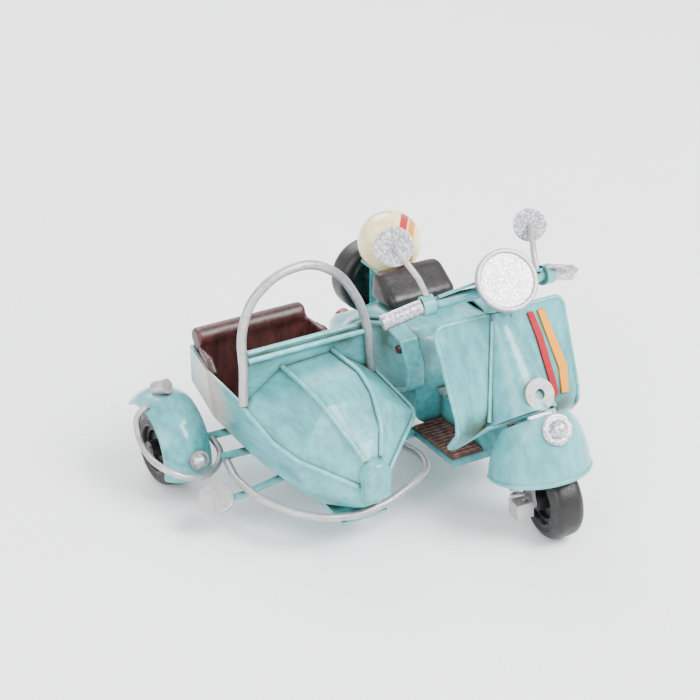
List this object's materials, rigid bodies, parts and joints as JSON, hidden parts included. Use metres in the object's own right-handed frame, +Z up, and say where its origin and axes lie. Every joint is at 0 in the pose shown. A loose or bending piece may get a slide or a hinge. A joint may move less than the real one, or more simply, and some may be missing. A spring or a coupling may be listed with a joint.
{
  "type": "toy scooter with sidecar",
  "caption": "Hand-made tin model of a motor scooter with a boat-shaped sidecar: steering handlebar and fork, free-rolling wheels, windscreen hoop, saddle, helmet and spare wheel.",
  "frame": {"origin": "middle of the bounding box's floor, on the ground", "axes": "+X forward along the scooter's length, +Y to the rider's left, +Z up"},
  "size_m": [0.107, 0.1042, 0.0728],
  "materials": {
    "turquoise_enamel": "satin hand-brushed enamel with olive grime in the seams",
    "silver_paint": "silver paint, slightly pink, brushed on",
    "lamp_face": "speckled silver lamp face",
    "bright_metal": "bright plated metal",
    "black_rubber": "satin black rubber",
    "black_leather": "black leather look with piping",
    "maroon_leather": "dark maroon leather look",
    "cream_enamel": "glossy cream enamel with red and yellow bands",
    "red_enamel": "dark red enamel",
    "brown_enamel": "brown enamel dot",
    "stripe_paint": "red and amber paint laid on thickly",
    "ribbed_mat": "brown-pink ribbed mat"
  },
  "bodies": {
    "chassis": {"badge_washer": "silver_paint", "brake_pedal": "silver_paint", "bumper_hoop": "silver_paint", "centre_panel": "turquoise_enamel", "cover_knob": "brown_enamel", "cowl_plate": "turquoise_enamel", "engine_covers": "turquoise_enamel", "floor_mats": "ribbed_mat", "floorboard": "turquoise_enamel", "foot_pad": "silver_paint", "head_tube": "turquoise_enamel", "helmet": "cream_enamel", "leg_shield": "turquoise_enamel", "luggage_rack": "turquoise_enamel", "nose_cap": "turquoise_enamel", "rear_body": "turquoise_enamel", "rear_frame": "turquoise_enamel", "ring_bumper": "silver_paint", "saddle": "black_leather", "seat_back": "maroon_leather", "seat_cushion": "maroon_leather", "shield_stripes": "stripe_paint", "shield_wires": "turquoise_enamel", "side_fender": "turquoise_enamel", "side_lamp_lens": "lamp_face", "side_lamps": "silver_paint", "sidecar_bars": "turquoise_enamel", "sidecar_hood": "turquoise_enamel", "sidecar_tub": "turquoise_enamel", "sidecar_wires": "turquoise_enamel", "spare_mount": "silver_paint", "spare_rim": "turquoise_enamel", "spare_tyre": "black_rubber", "tail_lamp": "red_enamel", "wheel_axles": "silver_paint", "windscreen_hoop": "silver_paint"},
    "steering": {"front_axle": "silver_paint", "fork": "silver_paint", "suspension_spring": "silver_paint", "front_fender": "turquoise_enamel", "fender_lamp": "bright_metal", "fender_lamp_lens": "lamp_face", "steering_column": "turquoise_enamel", "handlebar": "turquoise_enamel", "headlamp_shell": "turquoise_enamel", "headlamp_rim": "silver_paint", "headlamp_glass": "lamp_face", "mirrors": "silver_paint", "mirror_stems": "silver_paint", "lever_clamps": "turquoise_enamel", "grips": "bright_metal", "lamp_brackets": "turquoise_enamel", "brake_lever": "silver_paint"},
    "front_wheel": {"front_tyre": "black_rubber", "front_hub": "turquoise_enamel"},
    "rear_wheel": {"rear_tyre": "black_rubber", "rear_hub": "turquoise_enamel"},
    "sidecar_wheel": {"side_tyre": "black_rubber", "side_hub": "turquoise_enamel"}
  },
  "joints": [
    {"name": "steering", "type": "hinge", "parent": "chassis", "child": "steering", "pos_m": [0.02081, 0.02505, 0.051], "axis": [-0.4226, 0, 0.9063], "range_deg": [-22, 22]},
    {"name": "front_wheel_spin", "type": "hinge", "parent": "steering", "child": "front_wheel", "pos_m": [0.0434, 0.02702, 0.01013], "axis": [0.1261, 0.9903, 0.0588], "continuous": true},
    {"name": "rear_wheel_spin", "type": "hinge", "parent": "chassis", "child": "rear_wheel", "pos_m": [-0.03407, 0.02505, 0.01], "axis": [0, 1, 0], "continuous": true},
    {"name": "sidecar_wheel_spin", "type": "hinge", "parent": "chassis", "child": "sidecar_wheel", "pos_m": [-0.02747, -0.04185, 0.01], "axis": [0, 1, 0], "continuous": true}
  ]
}
